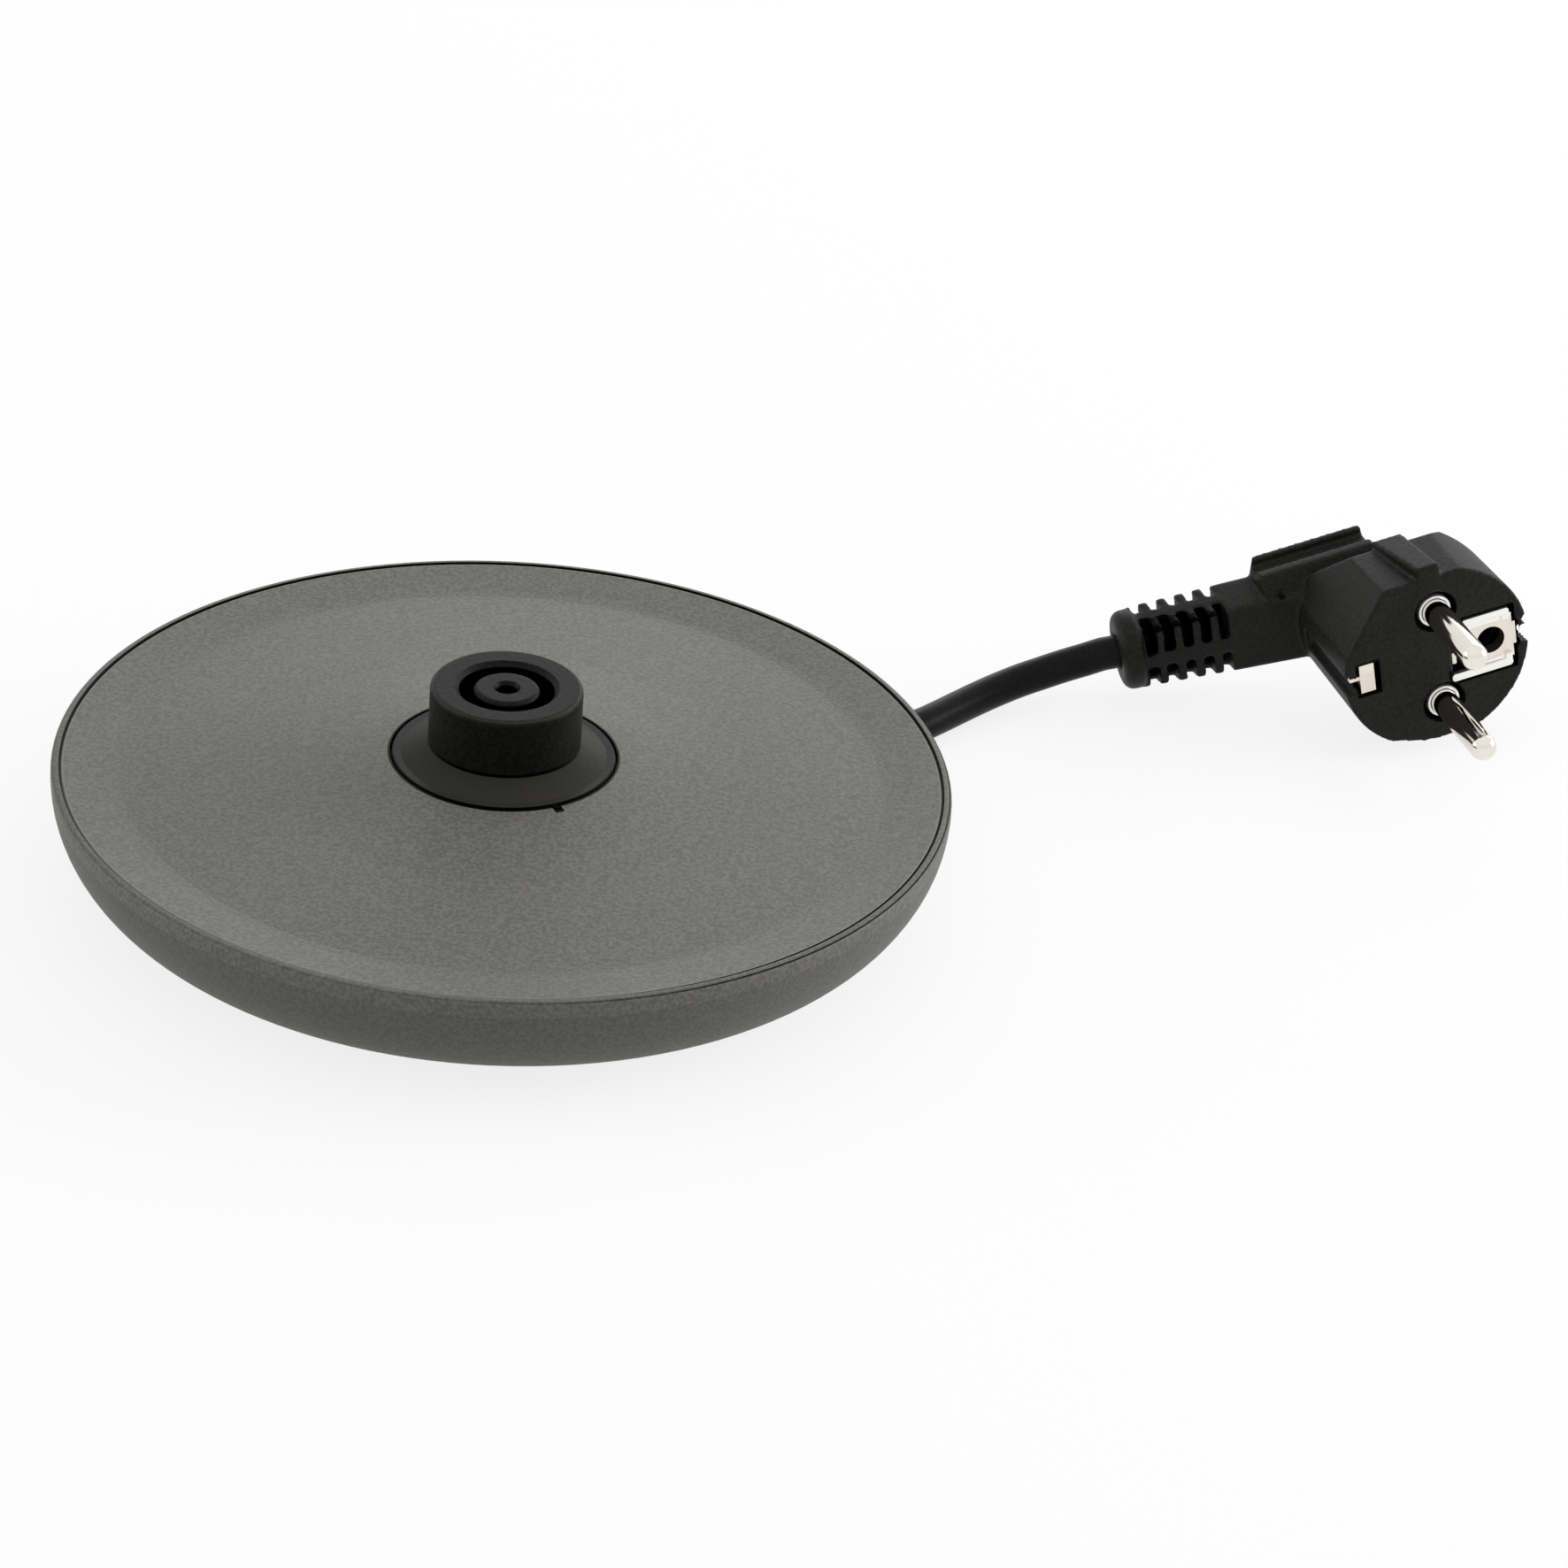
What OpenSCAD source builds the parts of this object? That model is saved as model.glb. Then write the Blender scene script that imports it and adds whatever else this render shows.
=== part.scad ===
// Powered base of a cordless kettle: a shallow dish with a round contact post,
// its mains lead wound under it and an angled two-pin earthed plug.
// Z is up, the origin is on the table under the middle of the dish.

/* [Dish] */
// widest diameter of the dish
base_d = 152; // [140:1:170]
// height of the rim above the table
rim_z = 21.4; // [19:0.1:26]
// air under the dish, kept by the rubber feet
foot_h = 1.5; // [1:0.1:3]
// wall of the outer bowl
bowl_wall = 2; // [1.6:0.1:2.6]
// wall of floors, cord store and tunnel
floor_t = 1.8; // [1.4:0.1:2.4]
// width of the lip round the cover
lip_w = 1.6; // [1.2:0.1:2.4]
// open line between lip and cover
cover_gap = 0.35; // [0.2:0.05:0.6]

/* [Cover] */
// thickness of the cover
cover_t = 2; // [1.6:0.1:2.6]
// width of the sloping margin inside the lip
margin_w = 9.6; // [6:0.1:14]
// how far the margin falls from the lip
margin_drop = 1.2; // [0.6:0.1:2]
// rise of the cover from the rim to the connector
hub_rise = 3.2; // [1:0.1:5]
// diameter of the screw posts under the cover
post_d = 7.4; // [6.4:0.1:8]

/* [Cord store] */
// diameter of the spool in the middle
spool_d = 76; // [70:1:84]
// room across the store beyond the spool
store_w = 13.4; // [13.2:0.1:14.2]
// height of the store above the bottom of the dish
store_h = 8.3; // [8.2:0.1:9]
// reach of the tabs that keep the lead in
tab_l = 7; // [5:0.5:9]
// thickness of the tabs
tab_t = 1.4; // [1:0.1:1.5]

/* [Connector] */
// diameter of the connector's flange
flange_d = 37.7; // [34:0.1:42]
// thickness of the flange at its edge
flange_t = 1.6; // [1.2:0.1:2.4]
// height of the cone between flange edge and post
cone_h = 2.7; // [1:0.1:4]
// diameter of the contact post
contact_d = 25.8; // [24:0.1:28]
// height of the contact post above its cone
contact_h = 10.3; // [8:0.1:14]
// outer diameter of the ring slot
slot_od = 16.2; // [15:0.1:18]
// diameter of the pillar inside the ring slot
pillar_d = 11.4; // [10.6:0.1:12]
// depth of the ring slot
slot_depth = 14; // [10:0.5:14]
// diameter of the hole in the pillar
hole_d = 3.6; // [3:0.1:4.4]
// wall of the connector mouldings
contact_wall = 1.6; // [1.2:0.1:2]

/* [Lead] */
// diameter of the mains lead
cord_d = 6; // [5.6:0.1:6.2]
// diameter of each wire inside it
wire_d = 2.2; // [2:0.1:2.4]

/* [Plug] */
// radius of the plug's head
head_r = 17.7; // [17.4:0.1:18]
// half width of the head across its flats
head_flat = 16.6; // [15.8:0.1:17]
// depth of the head behind its face
head_t = 16; // [14:0.5:18]
// diameter of the pins
pin_d = 4.8; // [4:0.1:5]
// free length of the pins
pin_l = 19; // [17:0.1:20]
// distance between the pins
pin_pitch = 19; // [18:0.1:19.4]
// diameter of the hole for the socket's earth pin
earth_hole_d = 5; // [4.6:0.1:5.2]
// height of the neck, across the lead
neck_w = 15.6; // [15:0.1:16]
// depth of the neck
neck_t = 9.6; // [9:0.1:10]
// number of fins on the strain relief
fins = 4; // [3:1:5]

/* [Fasteners and feet] */
// diameter of the cover screws
screw_d = 3; // [2.5:0.1:3.2]
// diameter of a rubber foot
foot_d = 9; // [8:0.1:9]
// depth of a foot's seat in the dish
foot_seat = 1.2; // [0.8:0.1:1.4]

/* [Hidden] */
eps = 0.01;
fit = 0.2;

// dish: the outside is a quarter round between the flat bottom and the widest circle
base_r = base_d / 2;
bowl_z = rim_z - 1.6;
bowl_r = bowl_z - foot_h;
bowl_cx = base_r - bowl_r;
lip_r = base_r - lip_w;
seat_z = rim_z - 0.2 - cover_t;
seat_w = 2;

// cord store and the floors around it
spool_r = spool_d / 2;
spool_in = spool_r - floor_t;
store_r = spool_r + store_w;
store_z = foot_h + store_h;
floor_z = foot_h + floor_t;

// cover
cover_r = lip_r - cover_gap;
cover_edge_z = rim_z - 0.2;
margin_r = cover_r - margin_w;
margin_z = cover_edge_z - margin_drop;
hub_z = cover_edge_z + hub_rise;
hub_hole_r = flange_d / 2 + 0.4;

// connector
ledge_w = 2.2;
ledge_z = hub_z - flange_t;
throat_r = hub_hole_r - ledge_w;
skirt_r = throat_r - fit;
cone_r = flange_d / 2 - 1.5;
cone_z = hub_z + cone_h;
post_z = cone_z + contact_h;
slot_z = post_z - slot_depth;
pillar_z = post_z - 0.3;
carrier_r = skirt_r - contact_wall - fit;
carrier_z = foot_h + 3.7;
carrier_top = slot_z - contact_wall - 0.2;
ear_r = throat_r + 5;
ear_z = carrier_z + 4.8;
ear_t = 4;
connector_screw_l = 9;

// screws, feet and posts stand on one circle outside the cord store
foot_pos_r = store_r + floor_t + foot_d / 2 + 0.4;
foot_angles = [90, 210, 330];
head_d = screw_d * 1.9;
head_h = screw_d * 0.6;
head_z = foot_h + foot_seat + 2.2;
shell_post_z = foot_h + 6.5;
cover_screw_l = 10;

// winding of the lead in the store: two layers side by side
turn_z = foot_h + tab_t + 0.2 + cord_d / 2;
turn_in = spool_r + 0.3 + cord_d / 2;
turn_out = turn_in + cord_d + 0.3;

// clamp between the contact carrier and the spool wall, with its posts beside the lead
clamp_x = 2;
clamp_l = 11;
clamp_post_d = (spool_in - carrier_r - cord_d - 3.95) / 2;
clamp_pitch = cord_d + 1.2 + clamp_post_d;
clamp_screw_l = 5.4;

// the lead leaves the clamp inside the spool and bends out to its first turn
entry_a = 20;
entry_r = spool_in - 1.6 - clamp_post_d - cord_d / 2;
entry_c = turn_in - entry_r;
inner_z = floor_z + cord_d / 2 + 0.1;
inner_l = 28;

// where the lead goes from the store to the plug, in millimetres on the table
cord_exit_y = 47.6;
cord_route = [[16, 47.6, 6.1], [28, 47.6, 5.8], [40, 47.6, 5], [47, 47.6, 4.4], [53, 47.6, 3.9],
    [58.6, 48.1, 3.5], [63.7, 49.4, 3.3], [68.4, 51.6, 3.1], [72.7, 54.6, 3.1], [76.5, 58.3, 3.1],
    [80.3, 62.2, 3.2], [84.1, 65.7, 3.5], [87.9, 68.6, 4], [91.8, 70.9, 4.7], [95.6, 72.5, 5.5],
    [99.5, 73.6, 6.6], [103.3, 73.8, 8], [106.4, 74, 9.2], [109.3, 74.3, 9.8]];

// place of the plug: pin midpoint on its face, turned and with its head raised
plug_at = [164.7, 59.1, 19.9];
plug_turn = 18.35;
plug_tilt = 11.9;

// plug details in its own frame: X away from the lead, Y into the plug, Z across
head_c = -0.5;
guide_h = 2.4;
neck_end = [-29.6, 28.9];
neck_a = 8.4;
relief_l = 19.9;
disc_t = 4.1;
lead_at = [-48.2, 31.93];
gap_w = 1.75;
gap_pitch = (relief_l - disc_t - gap_w - 0.4) / (fins + 0.1);
back_y = 33.4;
wing_x = [-22.9, -0.2];
wing_z = 10.2;
lip_y = 25.9;
groove_y = [28, 32];
collar_d = pin_d + 2.4;
collar_recess = 1.6;
root_d = pin_d - 0.5;
plate_x = [2.6, 15.2];
hole_x = 10;
plate_w = 12.2;
plate_t = 0.8;
clip_w = 5.2;
clip_x = -15.6;
channel_w = 3.6;
strap_y = 7;
strap_t = 0.8;

// terminals and wires
line_a = 230;
neutral_a = 282;
earth_a = 334;
tab_z = carrier_z + 3;
tab_end = carrier_r + 4.95;
term_l = 5.6;
term_w = 7.2;
term_t = 2.6;
wire_bend = 3.6;
wire_z = tab_z + 0.4;
wire_pitch = 2.7;
wire_r = [for (k = [0:2]) spool_in - 1.6 - k * wire_pitch];
barrel_l = wire_r[2] - wire_bend - tab_end - 1.6;

function arc(c, r, a, b, n) =
    [for (i = [0:n]) let (t = a + (b - a) * i / n) c + r * [cos(t), sin(t)]];
function fin_gap(i) = 0.42 + gap_w / 2 + i * gap_pitch;
function polar(r, a, z) = [r * cos(a), r * sin(a), z];
function unit(v) = v / norm(v);
function heading(p, i) = unit(p[min(i + 1, len(p) - 1)] - p[max(i - 1, 0)]);
function ring(p, i, d, n) =
    let (t = heading(p, i), s = unit(cross(t, [0, 0, 1])), u = cross(s, t))
    [for (k = [0:n - 1]) p[i] + d / 2 * (cos(360 * k / n) * s + sin(360 * k / n) * u)];

// round tube of one polyhedron, swept along a list of points
module swept_tube(p, d, n) {
    m = len(p);
    polyhedron(
        points = [for (i = [0:m - 1]) each ring(p, i, d, n)],
        faces = concat(
            [[for (k = [n - 1:-1:0]) k]],
            [[for (k = [0:n - 1]) (m - 1) * n + k]],
            [for (i = [0:m - 2]) for (k = [0:n - 1])
                [i * n + k, i * n + (k + 1) % n, (i + 1) * n + (k + 1) % n]],
            [for (i = [0:m - 2]) for (k = [0:n - 1])
                [i * n + k, (i + 1) * n + (k + 1) % n, (i + 1) * n + k]]),
        convexity = 8);
}

// rectangle with round corners, centred
module round_rect(w, h, r) {
    square([w - 2 * r, h], center = true);
    square([w, h - 2 * r], center = true);
    for (x = [-1, 1], y = [-1, 1])
        translate([x * (w / 2 - r), y * (h / 2 - r)])
            circle(r = r, $fn = 32);
}

// pan-head screw with a cross recess, head below, at the origin of its head's seat
module screw_up(d, l) {
    difference() {
        union() {
            cylinder(d = d, h = l, $fn = 32);
            translate([0, 0, -d * 0.6])
                cylinder(d1 = d * 1.6, d2 = d * 1.9, h = d * 0.6, $fn = 32);
        }
        for (a = [0, 90])
            rotate([0, 0, a])
                translate([-d * 0.5, -d * 0.11, -d * 0.6 - 1])
                    cube([d, d * 0.22, 1 + d * 0.35]);
    }
}

module at_feet() {
    for (a = foot_angles)
        rotate([0, 0, a])
            translate([foot_pos_r, 0, 0])
                children();
}

module bowl_solid(inset = 0.8) {
    r = bowl_r - inset;
    rotate_extrude($fn = 180)
        polygon(concat([[0, foot_h + inset], [bowl_cx, foot_h + inset]],
            arc([bowl_cx, bowl_z], r, -90, -12, 24), [[0, bowl_z - r * sin(12)]]));
}

// section of the dish: floor, spool wall, store roof, outer bowl and lip in one line
module shell_section() {
    inner_r = bowl_r - bowl_wall;
    polygon(concat(
        [[0, foot_h], [spool_r, foot_h], [spool_r, store_z], [store_r, store_z],
            [store_r, foot_h], [bowl_cx, foot_h]],
        arc([bowl_cx, bowl_z], bowl_r, -90, 0, 32),
        arc([base_r - 1, rim_z - 1], 1, 0, 90, 8),
        [[lip_r + 0.3, rim_z], [lip_r, rim_z - 0.3], [lip_r, seat_z], [lip_r - seat_w, seat_z],
            [lip_r - seat_w, seat_z - 0.8]],
        arc([bowl_cx, bowl_z], inner_r, -12, -90, 28),
        [[store_r + floor_t, foot_h + bowl_wall], [store_r + floor_t, store_z + floor_t],
            [spool_in, store_z + floor_t], [spool_in, floor_z], [0, floor_z]]));
}

module cord_tunnel(w, top) {
    translate([14, cord_exit_y - w / 2, foot_h - 1])
        cube([base_r, w, top - foot_h + 1]);
}

// slot in the spool wall that follows the bend of the lead
module entry_slot() {
    rotate([0, 0, entry_a])
        translate([entry_c, 0, floor_z])
            rotate_extrude(angle = 88, $fn = 96)
                translate([entry_r - cord_d / 2 - 0.5, 0])
                    square([cord_d + 1, inner_z + cord_d / 2 + 0.15 - floor_z]);
}

module at_clamp_posts() {
    rotate([0, 0, entry_a])
        for (s = [-1, 1])
            translate([clamp_x, entry_r + s * clamp_pitch / 2, 0])
                children();
}

module lower_shell() {
    color([0.34, 0.345, 0.33])
        difference() {
            union() {
                rotate_extrude($fn = 180)
                    shell_section();
                intersection() {
                    bowl_solid();
                    union() {
                        difference() {
                            cord_tunnel(cord_d + 1 + 2 * floor_t, store_z + floor_t);
                            cylinder(r = store_r, h = base_r, $fn = 180);
                        }
                        at_feet()
                            cylinder(d = foot_d + 0.6, h = shell_post_z, $fn = 48);
                    }
                }
                for (a = [45:90:315])
                    rotate([0, 0, a])
                        translate([spool_r - 1, -4.5, foot_h])
                            cube([tab_l + 1, 9, tab_t]);
                at_clamp_posts()
                    translate([0, 0, foot_h + 0.4])
                        cylinder(d = clamp_post_d, h = inner_z - foot_h - 0.4, $fn = 32);
            }
            cord_tunnel(cord_d + 1, store_z);
            entry_slot();
            at_feet() {
                translate([0, 0, -1])
                    rotate([0, 0, 180])
                        cylinder(d = foot_d + fit, h = foot_h + foot_seat + 1, $fn = 48);
                cylinder(d = head_d + 0.8, h = head_z, $fn = 48);
                cylinder(d = screw_d + 0.4, h = shell_post_z + 1, $fn = 32);
            }
            at_clamp_posts()
                translate([0, 0, foot_h + 1.2])
                    cylinder(d = 2.1, h = inner_z, $fn = 24);
            for (a = [60:120:300])
                rotate([0, 0, a])
                    translate([12, 0, 0])
                        cylinder(d = 3.5, h = floor_z + 1, $fn = 32);
        }
}

// top line of the cover from the connector out to the lip
function cover_line(dz) = [
    [hub_hole_r + 2.4, hub_z - 0.25 - dz], [hub_hole_r + 7, hub_z - 0.95 - dz],
    [hub_hole_r + 13, hub_z - 1.85 - dz], [hub_hole_r + 20, hub_z - 2.65 - dz],
    [margin_r - 1.5, margin_z + 0.08 - dz], [margin_r, margin_z - dz],
    [margin_r + 1.5, margin_z + 0.12 - dz]];

module top_cover() {
    color([0.43, 0.435, 0.42])
        difference() {
            union() {
                rotate_extrude($fn = 180)
                    polygon(concat(
                        [[throat_r, ledge_z - floor_t], [throat_r, ledge_z], [hub_hole_r, ledge_z],
                            [hub_hole_r, hub_z]],
                        cover_line(0),
                        [[cover_r - 0.3, cover_edge_z], [cover_r, cover_edge_z - 0.3],
                            [cover_r, seat_z], [lip_r - seat_w - 1, seat_z]],
                        [for (i = [6:-1:0]) cover_line(cover_t)[i]]));
                at_feet()
                    translate([0, 0, shell_post_z])
                        cylinder(d = post_d, h = margin_z - 1 - shell_post_z, $fn = 48);
                for (a = [entry_a, entry_a + 180])
                    rotate([0, 0, a])
                        translate([ear_r, 0, ear_z + ear_t + 0.2])
                            cylinder(d = 6.4, h = ledge_z - ear_z - ear_t - 0.8, $fn = 32);
            }
            at_feet()
                translate([0, 0, shell_post_z - 1])
                    cylinder(d = screw_d + 0.1, h = 10, $fn = 32);
            for (a = [entry_a, entry_a + 180])
                rotate([0, 0, a])
                    translate([ear_r, 0, ear_z + ear_t - 0.8])
                        cylinder(d = 2.6, h = 7.6, $fn = 32);
            rotate([0, 0, -62])
                translate([hub_hole_r - 1, -0.75, hub_z - 1.1])
                    cube([2.1, 1.5, 3]);
        }
}

// connector seen from above: flange, cone, contact post, ring slot and pillar
module connector_body() {
    cr = contact_d / 2;
    sr = slot_od / 2;
    pr = pillar_d / 2;
    w = contact_wall;
    color([0.085, 0.085, 0.085])
        difference() {
            union() {
                rotate_extrude($fn = 128)
                    polygon(concat(
                        [[hole_d / 2, slot_z - w], [hole_d / 2, pillar_z - 0.8],
                            [hole_d / 2 + 0.5, pillar_z]],
                        arc([pr - 1, pillar_z - 1], 1, 90, 0, 6),
                        [[pr, slot_z], [sr, slot_z], [sr, post_z - 0.8]],
                        [[sr + 0.8, post_z]],
                        arc([cr - 0.9, post_z - 0.9], 0.9, 90, 0, 6),
                        [[cr, cone_z], [cone_r, hub_z + 0.15], [flange_d / 2 - 0.3, hub_z + 0.15],
                            [flange_d / 2, hub_z - 0.1], [flange_d / 2, ledge_z], [skirt_r, ledge_z],
                            [skirt_r, carrier_z + 7], [skirt_r - w, carrier_z + 7],
                            [skirt_r - w, ledge_z + 0.6], [cr - w, cone_z - w],
                            [cr - w, post_z - 2 * w], [sr + w, post_z - 2 * w], [sr + w, slot_z - w]]));
                rotate([0, 0, -62])
                    translate([flange_d / 2 - 1, -0.5, hub_z - 1])
                        cube([2.2, 1, 1]);
            }
            translate([0, 0, slot_z - w - 1])
                cylinder(r = pr - 1.4, h = slot_depth - 3 + w, $fn = 48);
            for (a = [neutral_a, earth_a])
                rotate([0, 0, a])
                    intersection() {
                        difference() {
                            translate([0, 0, slot_z - w - 1])
                                cylinder(r = sr - 0.2, h = w + 2, $fn = 64);
                            translate([0, 0, slot_z - w - 2])
                                cylinder(r = pr + 0.2, h = w + 4, $fn = 64);
                        }
                        translate([0, -2.4, slot_z - w - 1])
                            cube([sr, 4.8, w + 2]);
                    }
        }
}

// carrier of the three contacts, pushed up into the connector's skirt
module contact_carrier() {
    color([0.8, 0.79, 0.74])
        difference() {
            union() {
                translate([0, 0, carrier_z])
                    cylinder(r = carrier_r, h = carrier_top - carrier_z, $fn = 96);
                for (a = [entry_a, entry_a + 180])
                    rotate([0, 0, a])
                        difference() {
                            translate([carrier_r - 1, -4, ear_z])
                                cube([ear_r + 5 - carrier_r, 8, 2]);
                            translate([ear_r, 0, carrier_z])
                                cylinder(d = 3, h = 9, $fn = 32);
                        }
                for (a = [entry_a, entry_a + 180])
                    rotate([0, 0, a])
                        difference() {
                            translate([ear_r, 0, ear_z])
                                cylinder(d = 8, h = ear_t, $fn = 32);
                            translate([ear_r, 0, carrier_z])
                                cylinder(d = 3, h = 9, $fn = 32);
                        }
            }
            difference() {
                translate([0, 0, carrier_z + 1.6])
                    cylinder(r = carrier_r - 1.4, h = carrier_top, $fn = 96);
                for (a = [line_a + 26, neutral_a + 26, earth_a + 26])
                    rotate([0, 0, a])
                        translate([9, -0.6, carrier_z])
                            cube([carrier_r - 9, 1.2, carrier_top - carrier_z - 1]);
            }
            for (a = [line_a, neutral_a, earth_a])
                rotate([0, 0, a])
                    translate([carrier_r - 3, -3.3, tab_z - 0.1])
                        cube([5, 6.6, 1]);
        }
}

// sprung strip: push-on tab outside, foot on the carrier floor, blade up to its track
module contact(a, blade_r, blade_z) {
    color([0.78, 0.62, 0.3])
        rotate([0, 0, a]) {
            translate([carrier_r - 1, -3.15, tab_z])
                cube([tab_end - carrier_r + 1, 6.3, 0.8]);
            translate([blade_r, -2.2, tab_z])
                cube([carrier_r - blade_r, 4.4, 0.8]);
            translate([blade_r, -2.2, tab_z])
                cube([0.5, 4.4, blade_z - tab_z - 1.5]);
            translate([blade_r, -1.4, blade_z - 2])
                cube([0.5, 2.8, 2]);
            translate([blade_r, -2.2, carrier_z + 1.6])
                cube([0.8, 4.4, tab_z - carrier_z - 1.6 + eps]);
        }
}

module line_contact() {
    contact(line_a, 2.2, slot_z + 6);
}

module neutral_contact() {
    contact(neutral_a, pillar_d / 2 + 0.35, slot_z + 7);
}

module earth_contact() {
    contact(earth_a, slot_od / 2 - 1.1, slot_z + 9);
}

// push-on terminal on a tab, with its crimped barrel
module terminal(a) {
    rotate([0, 0, a])
        difference() {
            union() {
                translate([tab_end - term_l + 1, -term_w / 2, tab_z + 0.4 - term_t / 2])
                    cube([term_l, term_w, term_t]);
                translate([tab_end + 0.9, 0, tab_z + 0.4])
                    rotate([0, 90, 0])
                        cylinder(d = wire_d + 1.2, h = barrel_l, $fn = 32);
            }
            translate([tab_end - term_l, -3.25, tab_z - 0.1])
                cube([term_l + 0.2, 6.5, 1]);
            translate([tab_end + 2, 0, tab_z + 0.4])
                rotate([0, 90, 0])
                    cylinder(d = wire_d + 0.1, h = barrel_l, $fn = 32);
        }
}

module lead_terminals() {
    color([0.75, 0.75, 0.72])
        for (a = [line_a, neutral_a, earth_a])
            terminal(a);
}

// end of the lead's jacket inside the spool
jacket_end = [-inner_l + entry_c, entry_r];
function in_entry(p, z) =
    [p[0] * cos(entry_a) - p[1] * sin(entry_a), p[0] * sin(entry_a) + p[1] * cos(entry_a), z];

// one wire from the jacket, round the carrier and with a last bend into its terminal
function wire_route(dy, dz, rise, r, a) = concat(
    [for (x = [0, -3]) in_entry(jacket_end + [x, dy], inner_z + dz)],
    [polar(r, 153, (inner_z + dz + wire_z + rise) / 2)],
    [for (t = [165:13:a - 14]) polar(r, t, wire_z + (t < 185 ? rise : 0))],
    [for (t = [0:30:90])
        let (p = [r, -wire_bend] + wire_bend * [cos(t) - 1, sin(t)])
        [p[0] * cos(a) - p[1] * sin(a), p[0] * sin(a) + p[1] * cos(a), wire_z]],
    [polar(tab_end + 2.5, a, wire_z)]);

module line_wire() {
    color([0.35, 0.2, 0.12])
        swept_tube(wire_route(-1.3, -1.3, 0, wire_r[2], line_a), wire_d, 8);
}

module neutral_wire() {
    color([0.15, 0.3, 0.65])
        swept_tube(wire_route(1.3, -1.3, 0, wire_r[1], neutral_a), wire_d, 8);
}

module earth_wire() {
    color([0.35, 0.6, 0.2])
        swept_tube(wire_route(0, 1.3, 2.8, wire_r[0], earth_a), wire_d, 8);
}

// bridge that holds the lead down on its floor
module cord_clamp() {
    color([0.8, 0.8, 0.78])
        rotate([0, 0, entry_a])
            difference() {
                translate([clamp_x - clamp_l / 2, entry_r - clamp_pitch / 2 - clamp_post_d / 2, inner_z])
                    union() {
                        cube([clamp_l, clamp_pitch + clamp_post_d, 2]);
                        translate([0, clamp_post_d / 2 + 2.1, 0])
                            cube([clamp_l, clamp_pitch - 4.2, cord_d / 2 + 1.8]);
                    }
                translate([clamp_x - clamp_l, entry_r, inner_z])
                    rotate([0, 90, 0])
                        cylinder(d = cord_d + 0.1, h = 2 * clamp_l, $fn = 48);
                for (s = [-1, 1])
                    translate([clamp_x, entry_r + s * clamp_pitch / 2, inner_z - 1])
                        cylinder(d = 2.6, h = 9, $fn = 24);
            }
}

module clamp_screws() {
    color([0.7, 0.7, 0.7])
        at_clamp_posts()
            translate([0, 0, inner_z + 2])
                mirror([0, 0, 1])
                    screw_up(2, clamp_screw_l);
}

module connector_screws() {
    color([0.7, 0.7, 0.7])
        for (a = [entry_a, entry_a + 180])
            rotate([0, 0, a])
                translate([ear_r, 0, ear_z])
                    screw_up(2.5, connector_screw_l);
}

module cover_screws() {
    color([0.7, 0.7, 0.7])
        at_feet()
            translate([0, 0, head_z])
                screw_up(screw_d, cover_screw_l);
}

module rubber_feet() {
    color([0.13, 0.13, 0.13])
        at_feet()
            rotate_extrude($fn = 48)
                polygon([[0, 0], [foot_d / 2 - 0.9, 0], [foot_d / 2 - 0.3, 0.3], [foot_d / 2, 1],
                    [foot_d / 2, foot_h + foot_seat], [0, foot_h + foot_seat]]);
}

// lead inside the spool, from the end of its jacket to the first turn
module cord_inner() {
    color([0.06, 0.06, 0.06])
        swept_tube(concat(
            [for (x = [0:7:inner_l - 1]) in_entry(jacket_end + [x, 0], inner_z)],
            [for (b = [90:-14:48]) in_entry([entry_c + entry_r * cos(b), entry_r * sin(b)],
                inner_z)]), cord_d, 12);
}

// the turns of the lead in the store, as one ring
module cord_winding() {
    color([0.06, 0.06, 0.06])
        rotate_extrude($fn = 128)
            translate([(turn_in + turn_out) / 2, turn_z])
                round_rect(turn_out - turn_in + cord_d, cord_d, cord_d / 2 - 0.05);
}

module cord_outer() {
    color([0.06, 0.06, 0.06])
        swept_tube(cord_route, cord_d, 12);
}

module in_plug() {
    translate(plug_at)
        rotate([0, 0, plug_turn])
            rotate([0, -plug_tilt, 0])
                children();
}

// turns a flat outline so that it is extruded into the plug from its face
module into_plug(y, h) {
    translate([0, y + h, 0])
        rotate([90, 0, 0])
            linear_extrude(h)
                children();
}

// outline of the plug's face: a circle with two flats and one cut corner
module head_outline(r, flat) {
    difference() {
        intersection() {
            union() {
                translate([head_c, 0])
                    circle(r = r, $fn = 96);
                polygon([[0, 0], [head_c - r + 0.7, 4], [-9.6, flat], [0, flat]]);
            }
            square([3 * r, 2 * flat], center = true);
        }
        translate([0, flat - head_flat])
            polygon([[-18.4, 3.7], [-9.1, 17], [-18, 18]]);
        polygon([[-11.5, -14.2], [-3.5, -16.8], [-4, -19], [-11.5, -19]]);
    }
}

// outline of the neck across the lead: flat front, wider towards the back
module neck_section(grow) {
    w = neck_w / 2 + grow;
    t = neck_t / 2 + grow;
    offset(r = 1.2, $fn = 24)
        polygon([[w - 2.1, t - 1.4], [w - 1.2, -t + 1.2], [-w + 2, -t + 1.2], [-w + 2.9, t - 1.4]]);
}

module along_neck() {
    translate([neck_end[0], neck_end[1], 0])
        rotate([0, 0, 180 - neck_a])
            rotate([0, 90, 0])
                children();
}

// gaps of the strain relief, square to the plug's face, between four rails
module relief_gap(x) {
    difference() {
        translate([x - gap_w / 2, 20, -10])
            cube([gap_w, 24, 20]);
        along_neck()
            translate([0, 0, -1])
                linear_extrude(relief_l + 2)
                    neck_section(-2.8);
        translate([x - 2, 20, -2.4])
            cube([4, 24, 2.9]);
        along_neck()
            translate([-10, -1.4, -1])
                cube([20, 2.4, relief_l + 2]);
    }
}

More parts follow.
